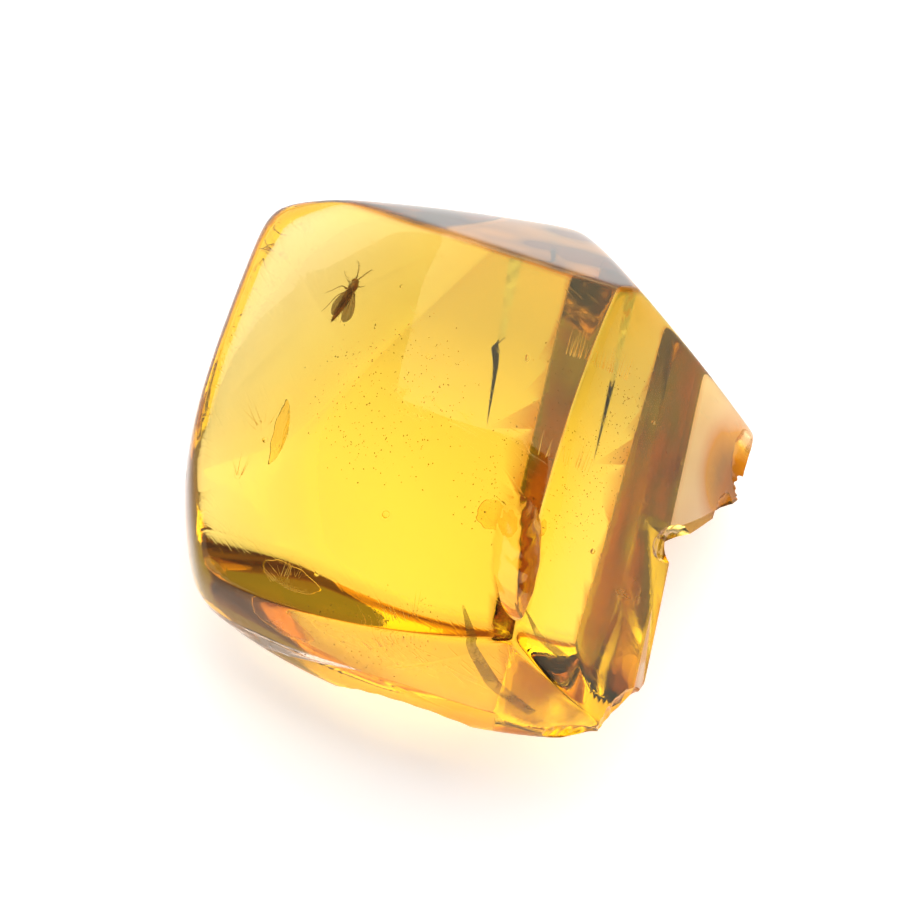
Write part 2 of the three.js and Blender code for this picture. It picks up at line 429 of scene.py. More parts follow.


# How broken the skin is at each corner of the block, from 0 on a polished facet to 1 in a break,
# and how much crust, painted shade and painted edge glow is on it
def markSkin(mesh):
    points = np.empty(len(mesh.vertices) * 3)
    mesh.vertices.foreach_get("co", points)
    points = points.reshape(-1, 3) / mm
    broken = np.zeros(len(points))
    crustAndPaintedLightAmount = np.zeros(len(points))
    for wedge in breaks["wedges"]:
        side, roof = gapsTo(wedge, points)
        onRoof = (np.abs(roof) < 0.3) & (side < 0.3)
        onSide = (np.abs(side) < 0.1) & (roof < 0.1)
        broken[onRoof], crustAndPaintedLightAmount[onRoof] = 1, crust["break roof"]
        broken[onSide] = np.maximum(broken[onSide], 0.2)
        # Painted shade: the orange tint on each break's side
        crustAndPaintedLightAmount[onSide] = np.maximum(crustAndPaintedLightAmount[onSide], crust["old break"])
    for _, at, size, turn, tilt, roll in chips["rows"]:
        turned = np.array(turnedBy(turn, tilt, roll).to_3x3())
        local = (points - np.array(at)) @ turned / np.array(size)
        shell = np.abs(np.linalg.norm(local, axis=1) - 1) < 0.05
        broken[shell] = np.maximum(broken[shell], 0.5)
        crustAndPaintedLightAmount[shell] = np.maximum(crustAndPaintedLightAmount[shell], crust["chips"])
    for facet in facetsOf(block):
        if facet.name in crust:
            gap = np.abs(facet.outside(points))
            share = np.clip(crust["strength"] - gap * crust["fade"], 0, 1)
            crustAndPaintedLightAmount = np.maximum(crustAndPaintedLightAmount, crust[facet.name] * share)
    # Rind and crust spots, two of them a painted edge glow
    for patch in crust["patches"]:
        away = np.linalg.norm((points - np.array(patch["at"])) / np.array(patch["size"]), axis=1)
        share = np.clip(crust["strength"] * (1 - away), 0, 1)
        crustAndPaintedLightAmount = np.maximum(crustAndPaintedLightAmount, patch["most"] * share)
    for name, values in (("broken", broken), ("crust", crustAndPaintedLightAmount)):
        mesh.attributes.new(name, "FLOAT", "POINT").data.foreach_set("value", values)


def newMaterial(name, values):
    material = bpy.data.materials.new(name)
    material.use_nodes = True
    shader = material.node_tree.nodes["Principled BSDF"]
    for label, value in values.items():
        shader.inputs[label].default_value = value
    return material, material.node_tree, shader


def addNode(tree, kind, inputs=(), **settings):
    node = tree.nodes.new(kind)
    for name, value in settings.items():
        setattr(node, name, value)
    for name, value in dict(inputs).items():
        if isinstance(value, bpy.types.NodeSocket):
            tree.links.new(value, node.inputs[name])
        else:
            node.inputs[name].default_value = value
    return node


def mathNode(tree, operation, a, b=0.0, clamp=False):
    node = addNode(tree, "ShaderNodeMath", {0: a, 1: b}, operation=operation, use_clamp=clamp)
    return node.outputs[0]


def objectPlace(tree):
    return addNode(tree, "ShaderNodeTexCoord").outputs["Object"]


def noiseAt(tree, place, scale, detail):
    given = {"Vector": place, "Scale": scale, "Detail": detail}
    return addNode(tree, "ShaderNodeTexNoise", given).outputs["Fac"]


# A ramp from one tone to another, between two places on it
def twoTones(tree, value, low, high, places):
    ramp = addNode(tree, "ShaderNodeValToRGB", {0: value})
    for stop, place, tone in zip(ramp.color_ramp.elements, places, (low, high)):
        stop.position, stop.color = place, (*tone, 1)
    return ramp.outputs[0]


def mapped(tree, value, fromLow, fromHigh, toLow, toHigh):
    return addNode(tree, "ShaderNodeMapRange", {
        "Value": value, "From Min": fromLow, "From Max": fromHigh, "To Min": toLow, "To Max": toHigh,
    }).outputs[0]


def mottledMaterial(name, scale, low, high, places, roughness):
    material, tree, shader = newMaterial(name, {"Roughness": roughness})
    tones = twoTones(tree, noiseAt(tree, objectPlace(tree), scale, 2), low, high, places)
    tree.links.new(tones, shader.inputs["Base Color"])
    return material


# Fine wear on polished resin: hairline scratches one way and the other, and a soft unevenness
def wearGroup():
    group = bpy.data.node_groups.new("polishWear", "ShaderNodeTree")
    for name, kind, value in (("Scratch Scale", "NodeSocketFloat", 600.0),
                              ("Waviness Scale", "NodeSocketFloat", 160.0),
                              ("Turn", "NodeSocketFloat", 0.6)):
        socket = group.interface.new_socket(name, in_out="INPUT", socket_type=kind)
        socket.default_value = value
    group.interface.new_socket("Scratches", in_out="OUTPUT", socket_type="NodeSocketFloat")
    group.interface.new_socket("Waviness", in_out="OUTPUT", socket_type="NodeSocketFloat")
    given = group.nodes.new("NodeGroupInput")
    result = group.nodes.new("NodeGroupOutput")
    place = objectPlace(group)
    lines = []
    for side, stretch in ((1, (1, 15, 1)), (-1, (14, 1, 1.5))):
        turn = mathNode(group, "MULTIPLY", given.outputs["Turn"], side)
        spin = addNode(group, "ShaderNodeVectorRotate", {
            "Vector": place, "Axis": (0.1, 0.2, 1), "Angle": turn,
        }, rotation_type="AXIS_ANGLE")
        drawn = addNode(group, "ShaderNodeMapping", {"Vector": spin.outputs[0], "Scale": stretch})
        grain = noiseAt(group, drawn.outputs[0], given.outputs["Scratch Scale"], 0)
        lines.append(mathNode(group, "SUBTRACT", grain, 0.66, clamp=True))
    both = mathNode(group, "ADD", *lines)
    group.links.new(mathNode(group, "MULTIPLY", both, 6, clamp=True), result.inputs["Scratches"])
    swell = noiseAt(group, place, given.outputs["Waviness Scale"], 0)
    group.links.new(swell, result.inputs["Waviness"])
    return group


polishWear = wearGroup()

# Clear honey amber: absorption is for each metre of resin, strongest in blue
amber = {
    "ior": 1.54,
    "absorptionDensity": 160,
    "absorptionColor": (0.978, 0.866, 0.045, 1),
    "skin": (1, 0.985, 0.93, 1),
    "rindAndPaintedLight": (0.6, 0.2, 0.006, 1),
    "reflection": (1, 0.86, 0.5, 1),
    "crust": (0.03, 0.004, 0.001, 1),
    "polishRoughness": 0.006,
    "groundRoughness": 0.32,
    "brokenRoughness": 0.16,
    "scratchRoughness": 0.12,
    "scratchHeight": 0.000003,
    "waveHeight": 0.00006,
}


def amberMaterial():
    material, tree, shader = newMaterial("honeyAmber", {
        "Transmission Weight": 1, "IOR": amber["ior"], "Specular Tint": amber["reflection"],
    })
    wear = addNode(tree, "ShaderNodeGroup", node_tree=polishWear)
    place = objectPlace(tree)
    height = addNode(tree, "ShaderNodeSeparateXYZ", {0: place}).outputs["Z"]
    ground = mapped(tree, height, 0.00002, 0.00006, 1, 0)
    broken = addNode(tree, "ShaderNodeAttribute", attribute_name="broken").outputs["Fac"]
    crustAndPaintedLightAmount = addNode(tree, "ShaderNodeAttribute", attribute_name="crust").outputs["Fac"]
    patchy = mapped(tree, noiseAt(tree, place, 260, 1), 0.3, 0.6, 0.65, 1)
    # Skin, orange rind and dark red crust: the same ramp also paints shade on the breaks' sides and a glow
    # along two edges
    tones = addNode(tree, "ShaderNodeValToRGB", {0: mathNode(tree, "MULTIPLY", crustAndPaintedLightAmount, patchy)})
    stops = tones.color_ramp.elements
    stops[0].color, stops[1].color = amber["skin"], amber["crust"]
    stops.new(0.5).color = amber["rindAndPaintedLight"]
    tree.links.new(tones.outputs[0], shader.inputs["Base Color"])
    speckle = mathNode(tree, "MULTIPLY", noiseAt(tree, place, 1400, 0), amber["brokenRoughness"] * 2)
    dulled = mathNode(tree, "MULTIPLY", broken, speckle)
    groundDull = mathNode(tree, "MULTIPLY", ground, amber["groundRoughness"])
    scratchDull = mathNode(tree, "MULTIPLY", wear.outputs["Scratches"], amber["scratchRoughness"])
    rough = mathNode(tree, "ADD", mathNode(tree, "ADD", dulled, groundDull), scratchDull)
    rough = mathNode(tree, "ADD", rough, amber["polishRoughness"])
    tree.links.new(rough, shader.inputs["Roughness"])
    waves = addNode(tree, "ShaderNodeBump", {
        "Height": wear.outputs["Waviness"], "Strength": 1, "Distance": amber["waveHeight"],
    })
    lines = addNode(tree, "ShaderNodeBump", {
        "Height": wear.outputs["Scratches"], "Strength": 0.3, "Distance": amber["scratchHeight"],
        "Normal": waves.outputs[0],
    })
    tree.links.new(lines.outputs[0], shader.inputs["Normal"])
    inside = addNode(tree, "ShaderNodeVolumeAbsorption", {
        "Density": amber["absorptionDensity"], "Color": amber["absorptionColor"],
    })
    tree.links.new(inside.outputs[0], tree.nodes["Material Output"].inputs["Volume"])
    return material


blockMeshCut = cutBlock()
markSkin(blockMeshCut)
blockMeshCut.polygons.foreach_set("use_smooth", [True] * len(blockMeshCut.polygons))
blockMeshCut.set_sharp_from_angle(angle=math.radians(block["sharpAngle"]))
blockMeshCut.materials.clear()
blockMeshCut.materials.append(amberMaterial())
amberBlock = putIn(blockMeshCut, "amberBlock")
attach(amberBlock, "root")
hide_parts("amber_block")
print("amber block done")

# The insect: a slender gnat on its side, head up and tail down, about 3.2 mm long
gnat = {
    "place": (-5.95, 8.0, 8.2),
    "turn": (14, 20, 62),
    "size": 1.08,
    "abdomen": [(0.35, 0.0, -0.02, 0.2), (0.0, 0.0, -0.04, 0.22), (-0.35, 0.01, -0.06, 0.21),
                (-0.7, 0.03, -0.06, 0.185), (-1.05, 0.06, -0.03, 0.15), (-1.4, 0.1, 0.03, 0.11),
                (-1.7, 0.13, 0.09, 0.06), (-1.86, 0.15, 0.13, 0.02)],
    "legRadius": (0.032, 0.022, 0.013, 0.008),
    "legSpread": 0.72,
    "legs": [
        [(0.75, 0.14, -0.18), (1.05, 0.5, -0.2), (1.35, 0.75, -0.5), (1.62, 0.95, -0.62)],
        [(0.6, 0.16, -0.22), (0.62, 0.7, -0.3), (0.4, 1.0, -0.75), (0.22, 1.28, -0.95)],
        [(0.45, 0.15, -0.22), (0.05, 0.62, -0.35), (-0.5, 0.72, -0.8), (-0.85, 0.86, -1.0)],
        [(0.75, -0.14, -0.18), (1.1, -0.42, -0.3), (1.3, -0.7, -0.55), (1.5, -0.98, -0.58)],
        [(0.6, -0.16, -0.22), (0.7, -0.6, -0.4), (0.45, -0.95, -0.7), (0.3, -1.2, -0.95)],
        [(0.45, -0.15, -0.22), (0.1, -0.52, -0.4), (-0.4, -0.7, -0.72), (-0.8, -0.74, -0.98)],
    ],
    "antennaBeads": 13,
}


# A strip of faces between two rows of corners
def strip(work, first, second, closed=True):
    for here in range(len(first) if closed else len(first) - 1):
        there = (here + 1) % len(first)
        work.faces.new((first[here], first[there], second[there], second[here]))


def tube(work, path, radii, sides=8):
    rings = []
    path = [Vector(point) for point in path]
    for index, point in enumerate(path):
        way = (path[min(index + 1, len(path) - 1)] - path[max(index - 1, 0)]).normalized()
        across = way.cross(Vector((0.3, 0.2, 1))).normalized()
        up = across.cross(way)
        ring = [work.verts.new(point + radii[index] * (math.cos(a) * across + math.sin(a) * up))
                for a in (math.tau * side / sides for side in range(sides))]
        rings.append(ring)
    for ring, following in zip(rings, rings[1:]):
        strip(work, ring, following)
    work.faces.new(rings[0][::-1])
    work.faces.new(rings[-1])


def ball(work, at, size, sides=20):
    made = bmesh.ops.create_uvsphere(work, u_segments=sides, v_segments=sides // 2, radius=1)
    place = Matrix.Translation(at) @ Matrix.Diagonal(Vector((*size, 1)))
    bmesh.ops.transform(work, matrix=place, verts=made["verts"])


# A smooth path through a few points, with a radius at each
def drawnOut(points, radii, steps=6):
    shares = np.linspace(0, len(points) - 1, (len(points) - 1) * steps + 1)
    known = np.arange(len(points))
    rows = np.array([[*point, radius] for point, radius in zip(points, radii)])
    smooth = np.stack([np.interp(shares, known, rows[:, axis]) for axis in range(4)], axis=1)
    for _ in range(2):
        smooth[1:-1] = (smooth[:-2] + 2 * smooth[1:-1] + smooth[2:]) / 4
    return smooth[:, :3].tolist(), smooth[:, 3].tolist()


def turnedTo(angles):
    return Euler([math.radians(angle) for angle in angles]).to_matrix().to_4x4()


def finishedMesh(work, name, matrix=Matrix.Identity(4)):
    bmesh.ops.transform(work, matrix=matrix, verts=work.verts)
    mesh = closedMesh(work, name)
    mesh.polygons.foreach_set("use_smooth", [True] * len(mesh.polygons))
    return mesh


gnatPlace = (Matrix.Translation(Vector(gnat["place"]) * mm)
             @ turnedTo(gnat["turn"])
             @ Matrix.Scale(gnat["size"] * mm, 4))


def gnatBody():
    work = bmesh.new()
    ball(work, (0.62, 0, 0.06), (0.36, 0.25, 0.29), 28)
    ball(work, (0.42, 0, 0.14), (0.16, 0.17, 0.14))
    ball(work, (1.02, 0, -0.08), (0.15, 0.17, 0.17))
    for side in (-1, 1):
        ball(work, (1.05, 0.1 * side, -0.06), (0.11, 0.1, 0.13))
        beads = [(1.14 + 0.075 * step, side * (0.05 + 0.03 * step),
                  0.02 + 0.05 * step - 0.004 * step * step)
                 for step in range(gnat["antennaBeads"])]
        for step, bead in enumerate(beads):
            ball(work, bead, [0.045 - 0.0018 * step] * 3, 8)
        tube(work, beads, [0.014] * len(beads), 6)
        ball(work, (0.36, 0.3 * side, 0.04), (0.04, 0.07, 0.04), 10)
    tube(work, *drawnOut([(1.1, 0, -0.2), (1.2, 0, -0.36), (1.17, 0, -0.5)], [0.04, 0.03, 0.015]), 8)
    path, radii = drawnOut([row[:3] for row in gnat["abdomen"]], [row[3] for row in gnat["abdomen"]], 8)
    belts = [radius * (1 + 0.07 * math.sin(index * math.tau / 8)) for index, radius in enumerate(radii)]
    tube(work, path, belts, 20)
    for leg in gnat["legs"]:
        joints = [(x, y * gnat["legSpread"], z) for x, y, z in leg]
        tube(work, *drawnOut(joints, gnat["legRadius"], 5), 8)
    return finishedMesh(work, "gnatBody", gnatPlace)


def gnatMaterial():
    material, tree, shader = newMaterial("darkChitin", {"Roughness": 0.38})
    mottle = noiseAt(tree, objectPlace(tree), 4200, 4)
    tones = twoTones(tree, mottle, (0.07, 0.024, 0.005), (0.34, 0.14, 0.025), (0.35, 0.7))
    tree.links.new(tones, shader.inputs["Base Color"])
    grain = addNode(tree, "ShaderNodeBump", {"Height": mottle, "Strength": 0.5, "Distance": 0.00002})
    tree.links.new(grain.outputs[0], shader.inputs["Normal"])
    return material


# A piece sealed in the block goes where the block goes
def sealIn(mesh, name, material):
    piece = putIn(mesh, name)
    piece.data.materials.append(material)
    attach(piece, "root")
    print(name, len(mesh.polygons), "faces")
    return piece


chitin = gnatMaterial()
gnatPiece = sealIn(gnatBody(), "gnatBody", chitin)


def wingMesh():
    work = bmesh.new()
    outline = [(0.52, 0.0), (0.2, 0.2), (-0.3, 0.34), (-0.85, 0.42), (-1.3, 0.4), (-1.62, 0.26),
               (-1.72, 0.06), (-1.55, -0.1), (-1.1, -0.16), (-0.5, -0.14), (0.1, -0.08)]
    ring, _ = drawnOut([(x, y, 0) for x, y in outline + outline[:1]], [0] * (len(outline) + 1), 4)
    for side in (-1, 1):
        raised = Matrix.Rotation(math.radians(24 * side), 4, "X")
        spread = Matrix.Rotation(math.radians(-9 * side), 4, "Z")
        flip = Matrix.Diagonal(Vector((1, side, 1, 1)))

        def onWing(x, y, lift=0):
            bent = Vector((x, y, 0.05 * math.sin(2.2 * x) + lift))
            return raised @ spread @ flip @ bent + Vector((0, 0.08 * side, 0.24))

        low, high = [[work.verts.new(onWing(x, y, lift)) for x, y, _ in ring[:-1]]
                     for lift in (-0.006, 0.006)]
        work.faces.new(low[::-1])
        work.faces.new(high)
        strip(work, low, high)
        for vein in ([(0.5, 0.02), (-0.3, 0.2), (-1.2, 0.3), (-1.6, 0.2)],
                     [(0.5, 0.0), (-0.4, 0.08), (-1.1, 0.1), (-1.7, 0.05)],
                     [(0.4, -0.02), (-0.3, -0.03), (-1.0, -0.06), (-1.4, -0.12)]):
            tube(work, *drawnOut([onWing(x, y) for x, y in vein], [0.014, 0.012, 0.01, 0.008], 4), 6)
    bmesh.ops.triangulate(work, faces=[face for face in work.faces if len(face.verts) > 4])
    return finishedMesh(work, "gnatWings", gnatPlace)


def wingMaterial():
    film = mottledMaterial("wingFilm", 1800, (0.09, 0.03, 0.006), (0.26, 0.11, 0.02), (0, 1), 0.3)
    film.node_tree.nodes["Principled BSDF"].inputs["Alpha"].default_value = 0.5
    return film


sealIn(wingMesh(), "gnatWings", wingMaterial())


# The insect's hairs, the dust and the pale threads are scattered by one kind of tree: points
# spread over a surface, with a small shape set on each
def scatterTree(name, shape, material, numbers):
    tree = bpy.data.node_groups.new(name, "GeometryNodeTree")
    tree.interface.new_socket("Surface", in_out="INPUT", socket_type="NodeSocketGeometry")
    for label, value in numbers.items():
        kind = "NodeSocketInt" if isinstance(value, int) else "NodeSocketFloat"
        tree.interface.new_socket(label, in_out="INPUT", socket_type=kind).default_value = value
    tree.interface.new_socket("Scattered", in_out="OUTPUT", socket_type="NodeSocketGeometry")
    given = tree.nodes.new("NodeGroupInput").outputs
    spread = addNode(tree, "GeometryNodeDistributePointsOnFaces", {
        "Mesh": given["Surface"], "Density": given["Density"], "Seed": given["Seed"],
    })
    if shape == "hair":
        made = addNode(tree, "GeometryNodeMeshCone", {
            "Vertices": 4, "Radius Bottom": given["Thickness"], "Depth": given["Length"],
        }).outputs["Mesh"]
        spin = spread.outputs["Rotation"]
        place = spread.outputs["Points"]
    else:
        made = addNode(tree, "GeometryNodeMeshIcoSphere", {
            "Radius": given["Thickness"], "Subdivisions": 1,
        }).outputs["Mesh"]
        spin = addNode(tree, "FunctionNodeRandomValue", {
            0: (0, 0, 0), 1: (6, 6, 6), "Seed": given["Seed"],
        }, data_type="FLOAT_VECTOR").outputs[0]
        drift = addNode(tree, "FunctionNodeRandomValue", {"Seed": 5}, data_type="FLOAT_VECTOR")
        for end, sign in ((0, -1), (1, 1)):
            reach = addNode(tree, "ShaderNodeCombineXYZ")
            far = mathNode(tree, "MULTIPLY", given["Drift"], sign)
            for axis in range(3):
                tree.links.new(far, reach.inputs[axis])
            tree.links.new(reach.outputs[0], drift.inputs[end])
        place = addNode(tree, "GeometryNodeSetPosition", {
            "Geometry": spread.outputs["Points"], "Offset": drift.outputs[0],
        }).outputs[0]
    bulk = addNode(tree, "FunctionNodeRandomValue", {
        2: given["Smallest"], 3: given["Largest"], "Seed": given["Seed"],
    }, data_type="FLOAT").outputs[1]
    lean = (1, 1, 1) if shape == "hair" else (1, 0.6, 0.45)
    sized = addNode(tree, "ShaderNodeVectorMath", {0: lean}, operation="SCALE")
    tree.links.new(bulk, sized.inputs["Scale"])
    placed = addNode(tree, "GeometryNodeInstanceOnPoints", {
        "Points": place, "Instance": made, "Rotation": spin, "Scale": sized.outputs[0],
    })
    real = addNode(tree, "GeometryNodeRealizeInstances", {0: placed.outputs[0]})
    dressed = addNode(tree, "GeometryNodeSetMaterial", {"Geometry": real.outputs[0], "Material": material})
    result = tree.nodes.new("NodeGroupOutput")
    tree.links.new(dressed.outputs[0], result.inputs[0])
    return tree


def scattered(name, surface, tree, values):
    holder = putIn(surface, name + "Holder")
    spread = holder.modifiers.new("scatter", "NODES")
    spread.node_group = tree
    for item in tree.interface.items_tree:
        if item.in_out == "INPUT" and item.name in values:
            spread[item.identifier] = values[item.name]
    depsgraph = bpy.context.evaluated_depsgraph_get()
    mesh = bpy.data.meshes.new_from_object(holder.evaluated_get(depsgraph))
    bpy.data.objects.remove(holder)
    piece = putIn(mesh, name)
    print(name, len(mesh.polygons), "faces")
    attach(piece, "root")
    return piece


hairs = {
    "Density": 38e6, "Seed": 4, "Thickness": 0.000007, "Length": 0.00016,
    "Smallest": 0.6, "Largest": 1.3,
}
hairTree = scatterTree("bodyHairs", "hair", chitin, hairs)
scattered("gnatHairs", gnatPiece.data.copy(), hairTree, hairs)

# Flow seams: where one pour of resin ran over the last, dust was trapped along gently curved sheets.
# A sheet, a bundle or a spangle is its middle, its size, its turn in degrees and its bow.
seams = {
    "sheets": [
        ((-3.5, 2.5, 6.6), (9, 9), (16, -12, 30), 0.9),
        ((3.2, -2.0, 8.2), (6, 8), (30, 28, -20), 0.7),
        ((6.6, 1.6, 5.4), (6, 9), (-10, 42, 12), 0.6),
        ((-5.5, -10.0, 7.6), (9, 4), (62, 0, 14), 0.5),
    ],
    "steps": 18,
}
dust = {
    "Density": 9e6, "Seed": 11, "Thickness": 0.00004, "Drift": 0.0008,
    "Smallest": 0.25, "Largest": 1.5,
}


def seamMesh(middle, size, turn, bow):
    work = bmesh.new()
    steps = seams["steps"]
    bmesh.ops.create_grid(work, x_segments=steps, y_segments=steps, size=0.5)
    for vert in work.verts:
        x, y = vert.co.x, vert.co.y
        fall = 1 - min(1, 2 * math.hypot(x, y)) ** 2
        wave = noise.noise(Vector((x * 3, y * 3, bow * 7)))
        vert.co = Vector((x * size[0], y * size[1], bow * (fall + 0.4 * wave)))
    outer = [vert for vert in work.verts
             if math.hypot(vert.co.x / size[0], vert.co.y / size[1]) > 0.5]
    bmesh.ops.delete(work, geom=outer, context="VERTS")
    place = Matrix.Translation(Vector(middle) * mm) @ turnedTo(turn) @ Matrix.Scale(mm, 4)
    bmesh.ops.transform(work, matrix=place, verts=work.verts)
    return work


def allSeams(sheets):
    whole = bmesh.new()
    for sheet in sheets:
        whole.from_mesh(meshOf(seamMesh(*sheet), "seam"))
    return meshOf(whole, "seams")


dusty = mottledMaterial("trappedDust", 700, (0.03, 0.012, 0.004), (0.3, 0.13, 0.03), (0.4, 0.62), 0.7)
dustTree = scatterTree("seamDust", "grain", dusty, dust)
scattered("trappedDust", allSeams(seams["sheets"]), dustTree, dust)

# Bubbles: small drops of gas, some drawn out along the flow
bubbles = {
    "rows": [
        ((-3.9, -4.2, 8.3), (0.2, 0.2, 0.19)),
        ((-10.1, 0.7, 6.2), (0.16, 0.15, 0.15)),
        ((-1.6, 4.6, 7.4), (0.12, 0.11, 0.11)),
        ((3.4, 3.8, 9.4), (0.13, 0.2, 0.12)),
        ((5.2, -5.6, 8.0), (0.17, 0.15, 0.15)),
        ((-7.4, -6.8, 6.6), (0.14, 0.14, 0.13)),
        ((-2.9, 8.8, 6.5), (0.09, 0.1, 0.09)),
        ((8.0, 2.4, 6.2), (0.12, 0.12, 0.15)),
    ],
    "sides": 24,
}


def bubbleMaterial():
    material, tree, shader = newMaterial("bubbleGas", {
        "Base Color": (1, 0.97, 0.9, 1), "Transmission Weight": 1, "IOR": 1.28,
    })
    film = noiseAt(tree, objectPlace(tree), 3000, 2)
    tree.links.new(mapped(tree, film, 0, 1, 0, 0.12), shader.inputs["Roughness"])
    return material


def bubbleMesh():
    work = bmesh.new()
    for at, size in bubbles["rows"]:
        ball(work, at, size, bubbles["sides"])
    return finishedMesh(work, "bubbles", Matrix.Scale(mm, 4))


sealIn(bubbleMesh(), "bubbles", bubbleMaterial())

# Sun spangles: thin round cracks with fine ribs, which catch the light inside the block
spangles = {
    "rows": [
        ((-9.3, 1.2, 6.0), (0.8, 1.7), (24, 62, 8), 0.4),
        ((1.6, -4.9, 10.2), (0.8, 1.0), (20, -30, 65), 0.35),
        ((-8.6, -6.4, 4.8), (1.7, 0.7), (52, 14, -25), 0.35),
        ((7.6, -7.4, 7.0), (1.2, 0.8), (10, 58, -60), 0.35),
    ],
    "rings": 22,
    "spokes": 56,
    "thickness": 0.012,
}


def spangleMesh():
    work = bmesh.new()
    for number, (middle, size, turn, bow) in enumerate(spangles["rows"]):
        turned = turnedTo(turn).to_3x3()
        sides = []
        for side in (-1, 1):
            points = [(0, 0)]
            for ring in range(1, spangles["rings"] + 1):
                share = ring / spangles["rings"]
                for spoke in range(spangles["spokes"]):
                    angle = math.tau * spoke / spangles["spokes"]
                    x, y = math.cos(angle), math.sin(angle)
                    ragged = 1 + 0.16 * noise.noise(Vector((x * 2, y * 2, number)))
                    points.append((share * ragged * x, share * ragged * y))
            verts = []
            for x, y in points:
                away = math.hypot(x, y)
                rib = 0.014 * math.sin(away * 24) + 0.02 * noise.noise(Vector((x * 5, y * 5, number + 4)))
                thick = side * spangles["thickness"] * max(0.15, 1 - away * away)
                height = bow * (1 - away * away) + rib + thick
                at = turned @ Vector((x * size[0], y * size[1], height))
                verts.append(work.verts.new((Vector(middle) + at) * mm))
            sides.append(verts)
        spokes = spangles["spokes"]
        for verts, flip in zip(sides, (True, False)):
            for spoke in range(spokes):
                following = (spoke + 1) % spokes
                fan = (verts[0], verts[1 + spoke], verts[1 + following])
                work.faces.new(fan[::-1] if flip else fan)
                for ring in range(spangles["rings"] - 1):
                    a, b = 1 + ring * spokes + spoke, 1 + ring * spokes + following
                    face = (verts[a], verts[a + spokes], verts[b + spokes], verts[b])
                    work.faces.new(face[::-1] if flip else face)
        low, high = sides
        start = 1 + (spangles["rings"] - 1) * spokes
        strip(work, low[start:], high[start:])
    return finishedMesh(work, "sunSpangles")


def spangleMaterial():
    material, tree, shader = newMaterial("spangleSheen", {
        "Base Color": (1, 0.84, 0.5, 1), "Transmission Weight": 1, "IOR": 1.22,
    })
    patch = noiseAt(tree, objectPlace(tree), 1100, 4)
    tree.links.new(mapped(tree, patch, 0.42, 0.68, 0.02, 0.35), shader.inputs["Roughness"])
    fine = addNode(tree, "ShaderNodeBump", {"Height": patch, "Strength": 0.4, "Distance": 0.00003})
    tree.links.new(fine.outputs[0], shader.inputs["Normal"])
    return material


# Flow streaks: bundles of fine pale threads drawn out as the resin ran; their pale golden tone is a
# painted highlight, standing in for glints along ribbed cracks
streaks = {
    "bundles": [
        ((-10.3, 1.0, 7.0), (1.5, 1.6), (-68, 10, 14), 0.4),
        ((-11.6, -1.6, 6.6), (1.0, 1.4), (-40, 34, 30), 0.4),
        ((-9.2, -7.4, 7.4), (2.4, 1.2), (-58, 34, 20), 0.4),
        ((-3.4, -10.2, 8.6), (3.4, 1.0), (-64, -20, 8), 0.4),
        ((6.2, 3.2, 11.0), (2.2, 3.4), (-74, -14, -24), 0.1),
        ((4.4, -2.2, 11.2), (1.8, 3.0), (-72, -12, -22), 0.1),
    ],
}
threads = {
    "Density": 8e6, "Seed": 9, "Thickness": 0.000016, "Length": 0.0015,
    "Smallest": 0.3, "Largest": 1.1,
}
# Pale golden thread tones: partly a painted highlight for glints along the streaks
streakHighlight = mottledMaterial("paleThread", 900, (0.75, 0.4, 0.08), (1, 0.86, 0.45), (0.35, 0.65), 0.35)
threadTree = scatterTree("paleThreads", "hair", streakHighlight, threads)
scattered("flowStreaks", allSeams(streaks["bundles"]), threadTree, threads)

sealIn(spangleMesh(), "sunSpangles", spangleMaterial())
print("inclusions done")

# Painted shade just inside the first break: a thin brown haze in streaks that darkens the block along the
# break's side
oldSeam = {
    "inside": 0.22,
    "thickness": 0.02,
    "margin": 0.35,
    "step": 0.25,
    "rows": 90,
    "columns": (2, 80),
    "clear": 0.02,
    "dense": 0.4,
}


def paintedShadeSeamMesh():
    first, second = breaks["wedges"]
    sideFacing, roofFacing, along, start = ridgeOf(first, oldSeam["inside"])
    down = np.cross(sideFacing, along)
    if down @ roofFacing > 0:
        down = -down
    step = oldSeam["step"]
    places = {}
    for row in range(-oldSeam["rows"], oldSeam["rows"] + 1):
        for column in range(*oldSeam["columns"]):
            places[row, column] = start + along * row * step + down * column * step
    points = np.array(list(places.values()))
    deepest = np.max([facet.outside(points) for facet in facetsOf(block)], axis=0)
    kept = {key: point for key, point, gap in zip(places, points, deepest) if gap < -oldSeam["margin"]}
    kept = {key: point for key, point in kept.items()
            if max(gapsTo(second, point)) >= oldSeam["margin"]}
    work = bmesh.new()
    made = {}
    for key, point in kept.items():
        sway = 0.05 * noise.noise(Vector(point) * 0.5)
        made[key] = work.verts.new((Vector(point) + Vector(sideFacing) * sway) * mm)
    for row, column in kept:
        square = [(row, column), (row + 1, column), (row + 1, column + 1), (row, column + 1)]
        if all(corner in kept for corner in square):
            work.faces.new([made[corner] for corner in square])
    loose = [vert for vert in work.verts if not vert.link_faces]
    bmesh.ops.delete(work, geom=loose, context="VERTS")
    bmesh.ops.recalc_face_normals(work, faces=work.faces)
    bmesh.ops.solidify(work, geom=work.faces[:], thickness=oldSeam["thickness"] * mm)
    return finishedMesh(work, "oldSeam")


